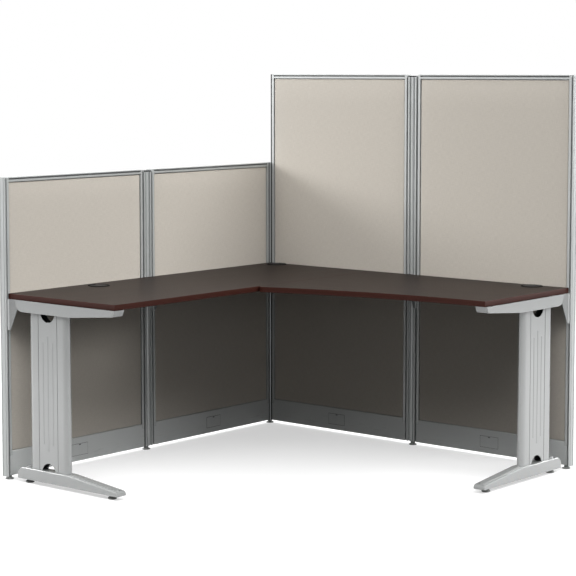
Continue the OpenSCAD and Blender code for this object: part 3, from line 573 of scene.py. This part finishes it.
def mid_post(wall):
    """A ribbed post with painted shade in its side grooves and near-black painted shade in its
    hollow top.
    """
    node = f"mid_post_{wall}"
    low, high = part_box(node)
    middle = in_wall(wall, (low + high) / 2)[0]
    hollow_shade_bottom = high.z - HOLLOW_TOP_SHADE_HEIGHT
    bm = mesh_copy(node)
    cut_across(bm, (0.0, 0.0, hollow_shade_bottom), (0.0, 0.0, 1.0))
    post = settle(soften(piece_from(bm, node + "_finished"), 0.0004), node)

    def in_side_groove(s, n, z, normal):
        return abs(s - middle) > RIB_EDGE and abs(n) < GROOVE_HALF_DEPTH

    def in_hollow_top(s, n, z, normal):
        return z > hollow_shade_bottom and abs(s - middle) < RIB_EDGE

    # The side grooves and the hollow top take painted shade.
    finish_where(post, wall, groove_painted_shade, in_side_groove)
    finish_where(post, wall, deep_painted_shade, in_hollow_top)


# The faces in the flutes of an end trim take painted shade.
def in_flute(s, n, z, normal):
    return s < TRIM_FACE_START and abs(normal.z) < 0.5


def panel_frame(wall, panel):
    """A frame with painted shade in the groove of its top rail."""
    node = f"frame_{wall}_{panel}"
    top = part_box(node)[1].z
    start, end = CAP_GROOVE

    def in_cap_groove(s, n, z, normal):
        return start < top - z < end and abs(n) < CAP_HALF_DEPTH

    finish_where(finished_copy(node, 0.0007), wall, cap_groove_painted_shade, in_cap_groove)


for wall in ("low", "tall"):
    mid_post(wall)
    finish_where(finished_copy(f"end_trim_{wall}", 0.0005), wall, groove_painted_shade, in_flute)
    finished_copy(f"corner_strip_{wall}", 0.0004)
finished_copy("corner_post", 0.001)
for wall, panel in walls:
    panel_frame(wall, panel)
print("posts, trims and frames done")

# %% [markdown]
# ## Fabric boards
#
# A board is a fibre core with cloth pulled tight round it, so its edges are softly rounded, it
# stands a hair wider than its core, and it has a very slight crown. It starts as a cube of that
# size with bevelled edges. The rims of its two faces are cut into short lengths, a grid of squares
# takes the place of each face, and the grid is raised by about a millimetre in the middle. The
# grid is made point by point, so that its points come in the same order on every run.


# %% Board helper
CLOTH_SWELL = 0.0013
CLOTH_RADIUS = 0.003
CLOTH_CROWN = 0.0011
CLOTH_SQUARES = 14


def cut_rim(bm, start, end, parts):
    """Cuts the edge between two corners into equal parts and lists its points."""
    points = [start]
    for left in range(parts, 1, -1):
        edge = bm.edges.get((points[-1], end))
        points.append(bmesh.utils.edge_split(edge, points[-1], 1.0 / left)[1])
    return points + [end]


def fill_with_grid(bm, face, parts):
    """Puts a grid of squares in the place of a face with four corners."""
    a, b, c, d = (loop.vert for loop in face.loops)
    near, far = cut_rim(bm, a, b, parts), cut_rim(bm, d, c, parts)
    left, right = cut_rim(bm, a, d, parts), cut_rim(bm, b, c, parts)
    bm.faces.remove(face)
    rows = [near]
    for j in range(1, parts):
        places = (left[j].co.lerp(right[j].co, i / parts) for i in range(1, parts))
        rows.append([left[j]] + [bm.verts.new(place) for place in places] + [right[j]])
    rows.append(far)
    for lower, upper in zip(rows, rows[1:]):
        for i in range(parts):
            bm.faces.new((lower[i], lower[i + 1], upper[i + 1], upper[i]))


def fabric_board(node):
    """A board in cloth, with round edges and a slight crown on both faces."""
    low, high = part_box(node)
    middle = (high + low) / 2
    thin = 0 if high.x - low.x < high.y - low.y else 1
    wide = 1 - thin
    size = high - low
    size[wide] += 2 * CLOTH_SWELL
    size.z += 2 * CLOTH_SWELL
    bm = bmesh.new()
    bmesh.ops.create_cube(bm, size=1.0)
    bmesh.ops.scale(bm, vec=size, verts=bm.verts)
    bmesh.ops.translate(bm, vec=middle, verts=bm.verts)
    bmesh.ops.bevel(
        bm,
        geom=bm.edges[:],
        offset=CLOTH_RADIUS,
        segments=4,
        profile=0.5,
        affect="EDGES",
        material=-1,
    )
    faces = [f for f in bm.faces if abs(f.normal[thin]) > 0.999 and f.calc_area() > 0.05]
    for face in faces:
        fill_with_grid(bm, face, CLOTH_SQUARES)
    for vert in bm.verts:
        away = vert.co - middle
        if abs(away[thin]) < size[thin] * 0.4999:
            continue
        u = min(1.0, abs(away[wide]) / (size[wide] / 2 - CLOTH_RADIUS))
        v = min(1.0, abs(away.z) / (size.z / 2 - CLOTH_RADIUS))
        vert.co[thin] += math.copysign(CLOTH_CROWN * (1 - u**4) * (1 - v**4), away[thin])
    return settle(piece_from(bm, node + "_cloth"), node)


print("cloth stands out by", CLOTH_SWELL, "and is crowned by", CLOTH_CROWN)

# %% Fabric boards
for wall, panel in walls:
    board = fabric_board(f"board_{wall}_{panel}")
    print(board.name, len(board.data.polygons), "faces")

# %% [markdown]
# ## Raceway covers and outlet plates
#
# Each frame stands over a channel for power and data, closed by clip-on covers on both sides. In
# the middle of each front cover sits a plastic plate with a finger notch. Bent sheet has a radius
# of about its own thickness at a fold, and moulded plates have a fine one. A plate's rim carries a
# narrow line of painted shade: the plate is made a little smaller than a thin near-black sheet
# behind it, which also paints the notch as shade.

# %% Outlet plate helper
PAINTED_SHADOW_LINE = 0.0013
SHADE_SHEET_FACES = (0.0006, 0.001)


def outlet_plate(node, wall):
    """The plate, a little smaller than the near-black sheet of painted shade behind its rim and
    notch.
    """
    bm = mesh_copy(node)
    low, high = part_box(node)
    along, through = (1, 0) if wall == "low" else (0, 1)
    for axis in (along, 2):
        pull_in(bm, axis, low, high, PAINTED_SHADOW_LINE)
    sheet_low, sheet_high = low.copy(), high.copy()
    near, far = SHADE_SHEET_FACES
    if wall == "low":
        sheet_low[through], sheet_high[through] = high[through] - far, high[through] - near
    else:
        sheet_low[through], sheet_high[through] = low[through] + near, low[through] + far
    sheet = bmesh.ops.create_cube(bm, size=1.0)["verts"]
    bmesh.ops.scale(bm, vec=sheet_high - sheet_low, verts=sheet)
    bmesh.ops.translate(bm, vec=(sheet_high + sheet_low) / 2, verts=sheet)
    bm.faces.index_update()
    # The sheet's faces are near-black painted shade round the rim and in the notch.
    painted_shade_faces = {f.index for vert in sheet for f in vert.link_faces}
    piece = settle(soften(piece_from(bm, node + "_finished"), 0.0002), node)
    piece.data.materials.append(deep_painted_shade.material)
    for index in painted_shade_faces:
        piece.data.polygons[index].material_index = 1


print("shadow line round a plate:", PAINTED_SHADOW_LINE)

# %% Raceway pieces
for wall, panel in walls:
    finished_copy(f"raceway_front_{wall}_{panel}", 0.0008)
    finished_copy(f"raceway_back_{wall}_{panel}", 0.0008)
    outlet_plate(f"outlet_plate_{wall}_{panel}", wall)
print("raceway pieces done")

# %% [markdown]
# ## Worktops and edge bands
#
# A worktop is a board with a crisp laminate edge, so it gets only a hairline radius. The band
# round it is softer: its outer top and bottom edges are scraped to a radius of most of a
# millimetre after it is glued on. Only these edges may be rounded, so they are picked by where
# they lie: they join a face that looks up or down with one that looks away from the board.


# %% Band helper
BAND_SCRAPE = 0.0007


def edge_band(node):
    """The band, with its outer top and bottom edges scraped round."""
    bm = mesh_copy(node)
    low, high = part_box(node)
    middle = (low + high) / 2
    outer = []
    for edge in bm.edges:
        if len(edge.link_faces) != 2 or edge.calc_face_angle() < 0.5:
            continue
        flat = [f for f in edge.link_faces if abs(f.normal.z) > 0.9]
        side = [f for f in edge.link_faces if abs(f.normal.z) < 0.1]
        if not flat or not side:
            continue
        away = (edge.verts[0].co + edge.verts[1].co) / 2 - middle
        if side[0].normal.dot(Vector((away.x, away.y, 0)).normalized()) > 0.05:
            outer.append(edge)
    bmesh.ops.bevel(
        bm, geom=outer, offset=BAND_SCRAPE, segments=3, profile=0.5, affect="EDGES", material=-1
    )
    piece = piece_from(bm, node + "_finished")
    piece.data.set_sharp_from_angle(angle=math.radians(35))
    settle(piece, node)
    print(piece.name, "rounded edges:", len(outer))


print("band edges scraped by", BAND_SCRAPE)

# %% Worktops and bands
finished_copy("worktop_left", 0.00025, laminate_left)
finished_copy("worktop_right", 0.00025)
for node in ("edge_band_left", "edge_band_right"):
    edge_band(node)

# %% [markdown]
# ## Turned and round pieces
#
# Grommet rings and levelling glides are round, and a lathe profile turned once round its axis is
# the plain way to make them. The profile is a short list of radii and heights round the outline.
# Each of its points becomes a ring, or a single point on the axis, and faces join each ring to the
# next one. Written out like this, the points come in the same order on every run.


# %% Turning helper
def ring_of_points(bm, centre, radius, z, steps):
    """Points round an axis at one height, or one point on the axis itself."""
    if radius == 0.0:
        return [bm.verts.new((centre.x, centre.y, z))] * steps
    ring = []
    for step in range(steps):
        turn = math.tau * step / steps
        x, y = radius * math.cos(turn), radius * math.sin(turn)
        ring.append(bm.verts.new((centre.x + x, centre.y + y, z)))
    return ring


def turned(node, profile, closed, steps):
    """A profile of radii and heights, turned once round the node's axis."""
    low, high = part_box(node)
    centre = (low + high) / 2
    bm = bmesh.new()
    rings = [ring_of_points(bm, centre, radius, z, steps) for radius, z in profile]
    pairs = list(zip(rings, rings[1:]))
    if closed:
        pairs.append((rings[-1], rings[0]))
    for first, second in pairs:
        for k in range(steps):
            corners = (first[k - 1], first[k], second[k], second[k - 1])
            bm.faces.new(list(dict.fromkeys(corners)))
    bmesh.ops.recalc_face_normals(bm, faces=bm.faces)
    return piece_from(bm, node + "_turned")


print("a turned piece takes its axis from the box of its node")

# %% Glides
STEM_RADIUS = 0.005
COLLAR_RADIUS = 0.010
PAD_ROUND = 0.0015
WALL_GLIDE = (0.006, 0.017)
LEG_GLIDE = (0.009, 0.016)


def glide(node, pad, pad_height, collar_top, stem_top):
    """A round pad, the collar on it and the stem that goes up into the post or foot."""
    profile = [
        (0.0, 0.0),
        (pad - PAD_ROUND, 0.0),
        (pad, PAD_ROUND),
        (pad, pad_height * 0.6),
        (pad - 0.004, pad_height),
        (COLLAR_RADIUS, pad_height),
        (COLLAR_RADIUS, collar_top - 0.0012),
        (COLLAR_RADIUS - 0.0012, collar_top),
        (STEM_RADIUS, collar_top),
        (STEM_RADIUS, stem_top),
        (0.0, stem_top),
    ]
    settle(soften(turned(node, profile, closed=False, steps=48), 0.0004), node)


for node in slot_of:
    if "_glide_" in node:
        low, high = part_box(node)
        pad = (high.x - low.x) / 2
        pad_height, collar_top = WALL_GLIDE if node.startswith("wall") else LEG_GLIDE
        glide(node, pad, pad_height, collar_top, high.z)
        print(node, "pad radius", round(pad, 4))

# %% Grommets
SLEEVE_OUTER = 0.0395
SLEEVE_INNER = 0.0335
CAP_SEAT = 0.0365


def grommet_ring(node):
    """A ring with a round rim, a seat for the cap and a sleeve down into the worktop."""
    low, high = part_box(node)
    outer, top, bottom = (high.x - low.x) / 2, high.z, low.z
    profile = [
        (outer, top - 0.003),
        (outer, top - 0.0018),
        (outer - 0.0022, top - 0.0003),
        (outer - 0.0042, top),
        (CAP_SEAT + 0.001, top),
        (CAP_SEAT, top - 0.001),
        (CAP_SEAT, top - 0.004),
        (SLEEVE_INNER, top - 0.004),
        (SLEEVE_INNER, bottom),
        (SLEEVE_OUTER, bottom),
        (SLEEVE_OUTER, top - 0.003),
    ]
    settle(soften(turned(node, profile, closed=True, steps=96), 0.0003), node)
    print(node, "outer radius", round(outer, 4))


for place in ("left", "corner", "right"):
    grommet_ring(f"grommet_ring_{place}")
    finished_copy(f"grommet_cap_{place}", 0.0005)

# %% [markdown]
# ## Legs
#
# A leg is pressed from sheet: an arm and a foot, both open channels with large soft radii along
# their outer edges, and a flat tube between them with a clip-on cable cover. The large radii go
# only on edges that lie in the two side planes, and not on the open rim, so they are picked by
# place. The small radius of the Bevel modifier then takes care of the rest. The column's packed
# ends are drawn out a little, so that the round runs gently into the flat. The hollow behind its
# cover is painted near black as shade, and with the cover a millimetre narrower on each side, the
# gap beside the cover reads as a dark line. The cover's beads are packed with upright sides, and
# pressed sheet can't be that steep: their crests are pinched to give them slopes.


# %% Leg helper
def pressed_channel(node, radius, open_top):
    """An arm or a foot, with a large radius along the edges of its two sides."""
    bm = mesh_copy(node)
    low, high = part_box(node)
    across = 1 if high.x - low.x > high.y - low.y else 0
    rim = high.z if open_top else low.z

    def lies_in(edge, axis, place):
        return all(abs(vert.co[axis] - place) < TINY for vert in edge.verts)

    picked = []
    for edge in bm.edges:
        on_side = any(lies_in(edge, across, side) for side in (low[across], high[across]))
        if not on_side or lies_in(edge, 2, rim):
            continue
        if len(edge.link_faces) == 2 and edge.calc_face_angle() > 0.5:
            picked.append(edge)
    bmesh.ops.bevel(
        bm, geom=picked, offset=radius, segments=4, profile=0.5, affect="EDGES", material=-1
    )
    piece = settle(soften(piece_from(bm, node + "_pressed"), 0.0005), node)
    print(piece.name, "rounded edges:", len(picked))


BEAD_SPACING = 0.027
BEAD_REACH = 0.0045
BEAD_END = 0.0035
BEAD_PINCH = 0.3


def cable_cover(node):
    """The cover, a little narrower than its window, with beads that slope as pressed ones do."""
    bm = mesh_copy(node)
    low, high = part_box(node)
    across = 0 if high.x - low.x > high.y - low.y else 1
    through = 1 - across
    crest = max(low[through], high[through], key=abs)
    pull_in(bm, across, low, high, 0.001)
    middle = (low[across] + high[across]) / 2
    for place in (middle - BEAD_SPACING, middle, middle + BEAD_SPACING):
        bead = [v for v in bm.verts if abs(v.co[across] - place) < BEAD_REACH]
        bead = [v for v in bead if abs(v.co[through] - crest) < 0.0001]
        bottom = min(v.co.z for v in bead) + BEAD_END
        top = max(v.co.z for v in bead) - BEAD_END
        for vert in bead:
            end = min(max(vert.co.z, bottom), top)
            vert.co[across] = place + (vert.co[across] - place) * BEAD_PINCH
            vert.co.z = end + (vert.co.z - end) * BEAD_PINCH
    piece = piece_from(bm, node + "_finished")
    piece.data.set_sharp_from_angle(angle=math.radians(20))
    settle(soften(piece, 0.0004, from_angle=80), node)


NOSE_DEPTH = 0.0186
NOSE_DRAW = 1.8
COLUMN_HOLLOW = (1.5675, 1.5986)
WINDOW_MIDDLE = 0.236
WINDOW_HALF = 0.0546


def leg_column(node, wall):
    """The column, with the round of its two ends drawn out towards the cable cover."""
    bm = mesh_copy(node)
    low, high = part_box(node)
    across = 0 if wall == "low" else 1
    for vert in bm.verts:
        for nose, inward in ((low[across], 1.0), (high[across], -1.0)):
            depth = (vert.co[across] - nose) * inward
            if depth < NOSE_DEPTH:
                vert.co[across] = nose + depth * NOSE_DRAW * inward
                break
    column = settle(soften(piece_from(bm, node + "_finished"), 0.0004), node)
    start, end = COLUMN_HOLLOW

    # The faces of the hollow behind the cover take near-black painted shade.
    def behind_cover(s, n, z, normal):
        return start < s < end and abs(n - WINDOW_MIDDLE) < WINDOW_HALF

    finish_where(column, wall, deep_painted_shade, behind_cover)


print("a cover has a bead every", BEAD_SPACING)


# %% Legs
for side in ("left", "right"):
    wall = "low" if side == "left" else "tall"
    pressed_channel(f"leg_arm_{side}", 0.003, open_top=True)
    pressed_channel(f"leg_foot_{side}", 0.004, open_top=False)
    leg_column(f"leg_column_{side}", wall)
    cable_cover(f"leg_cover_{side}")

# %% [markdown]
# ## Brackets and fixings
#
# Steel brackets sit in the grooves beside the frames and carry the worktops. The gussets take a
# darker steel, which is painted shade under the worktops, and the root in front of the groove a
# bright zinc, so the mesh is cut there and the faces near the wall get the second finish. The
# joining plates and screws are small and stay as packed, in zinc.


# %% Brackets
BRIGHT_ROOT = 0.029


def bracket(node):
    """A wall bracket, cut where its bright root meets the gusset, whose darker steel is painted
    shade.
    """
    wall, out = ("low", Vector((1, 0, 0))) if "left" in node else ("tall", Vector((0, -1, 0)))
    bm = mesh_copy(node)
    cut_across(bm, out * (BRIGHT_ROOT - HALF_FOOTPRINT), out)
    piece = settle(soften(piece_from(bm, node + "_finished"), 0.0004), node, shaded_bracket_steel)
    finish_where(piece, wall, zinc_steel, lambda s, n, z, normal: n < BRIGHT_ROOT)


for side in ("left", "right"):
    for place in ("mid", "end"):
        bracket(f"bracket_{side}_{place}")
for node in ("joining_plates", "worktop_screws"):
    packed = frame["nodes"][node]
    packed.data.materials.clear()
    packed.data.materials.append(finishes[slot_of[node]].material)
print("brackets and fixings done")

# %% [markdown]
# ## Floor, world and light
#
# The stage is a plain pale floor under a white sky. To the camera, in gloss and through glass
# both are near white: the floor keeps a faint shadow of the workstation and fades into the white
# background with distance, so that no horizon shows. For bounced light the floor is dark, as the
# space under the worktops is nearly black in the picture, and the sky is a dome of light that is
# strong well above the horizon and faint close to it, so little of it gets under the worktops.
# Three softboxes add direction. The right one lights the low wall and the left one the tall wall,
# where it also throws the shadow of the low one. The rear one stands behind the workstation and
# brightens its back.


# %% Floor
WHITE = (1.0, 1.0, 1.0, 1.0)


def seen_rays(tree):
    """1 for rays that show the backdrop: from the camera, off gloss or through glass."""
    camera, gloss, glass = (
        tree.node("ShaderNodeLightPath", {}, {}, f"Is {kind} Ray")
        for kind in ("Camera", "Glossy", "Transmission")
    )
    return camera.maths("MAXIMUM", camera.maths("MAXIMUM", camera, gloss), glass)


def floor_material():
    f = Finish("studio_floor", Roughness=0.9, Specular_IOR_Level=0.1)
    rays = seen_rays(f)
    cloud = f.noise(f.place, 0.6, 2.0)
    pale = f.mix(cloud, (0.46, 0.46, 0.46, 1.0), (0.48, 0.48, 0.48, 1.0))
    f.feed(Base_Color=f.mix(rays, (0.012, 0.012, 0.012, 1.0), pale))
    glow = f.node("ShaderNodeEmission", {}, {"Color": WHITE, "Strength": rays * 0.55})
    near = f.node("ShaderNodeAddShader", {}, {0: Signal(f, f.shader.outputs[0]), 1: glow})
    white = f.node("ShaderNodeEmission", {}, {"Color": WHITE, "Strength": rays})
    reach = f.node("ShaderNodeVectorMath", {"operation": "LENGTH"}, {0: f.place}, "Value")
    fading = f.node("ShaderNodeMixShader", {}, {0: reach.fade(2.0, 7.0), 1: near, 2: white})
    f.tree.links.new(fading.socket, f.tree.nodes["Material Output"].inputs["Surface"])
    return f.material


bm = bmesh.new()
bmesh.ops.create_circle(bm, cap_ends=True, segments=64, radius=120.0)
floor = piece_from(bm, "studio_floor")
floor.data.materials.append(floor_material())
print("floor rim points:", len(floor.data.vertices))

# %% World
class Sky(Finish):
    """The world's node tree, written in the same way as a finish."""

    def __init__(self, sky_world):
        self.tree = sky_world.node_tree


world = bpy.data.worlds.new("studio_world")
bpy.context.scene.world = world
world.use_nodes = True
sky = Sky(world)
direction = sky.node("ShaderNodeTexCoord", {}, {}, "Generated")
rise = sky.node("ShaderNodeSeparateXYZ", {}, {0: direction}, 2)
towards_light = {0: direction, 1: (0.2, 0.3, 0.0)}
slant = sky.node("ShaderNodeVectorMath", {"operation": "DOT_PRODUCT"}, towards_light, "Value")
horizon = rise.fade(0.14, 0.24, 0.76, 0.22)
overhead = rise.fade(0.52, 0.76, 0.0, 6.4) * rise.fade(0.74, 0.96, 1.0, 0.10)
dome = (horizon + overhead) * (slant + 1.0)
seen = seen_rays(sky)
background = sky.tree.nodes["Background"]
background.inputs["Color"].default_value = WHITE
sky.tree.links.new((dome * (1.0 - seen) + seen).socket, background.inputs["Strength"])
print("sky nodes:", len(sky.tree.nodes))


# %% Lamps
def add_softbox(name, watts, start, target, size):
    """A rectangular lamp at a place, turned towards a point."""
    data = bpy.data.lights.new(name, "AREA")
    data.energy = watts
    data.shape = "RECTANGLE"
    data.size, data.size_y = size
    lamp = bpy.data.objects.new(name, data)
    bpy.context.scene.collection.objects.link(lamp)
    lamp.location = start
    lamp.rotation_euler = (Vector(target) - Vector(start)).to_track_quat("-Z", "Y").to_euler()


add_softbox("right_softbox", 190.0, (9.5, 2.4, 4.2), (-0.8, 0.4, 0.8), (3.6, 2.4))
add_softbox("left_softbox", 190.0, (-4.4, -2.2, 2.6), (-0.4, 0.8, 1.1), (2.2, 1.5))
add_softbox("rear_softbox", 90.0, (2.6, 5.0, 1.9), (0.8, 0.5, 0.8), (1.6, 1.2))

# %% [markdown]
#
# The view transform is Standard, so a colour is shown as it is written.

# %% Finish
bpy.context.scene.view_settings.view_transform = "Standard"
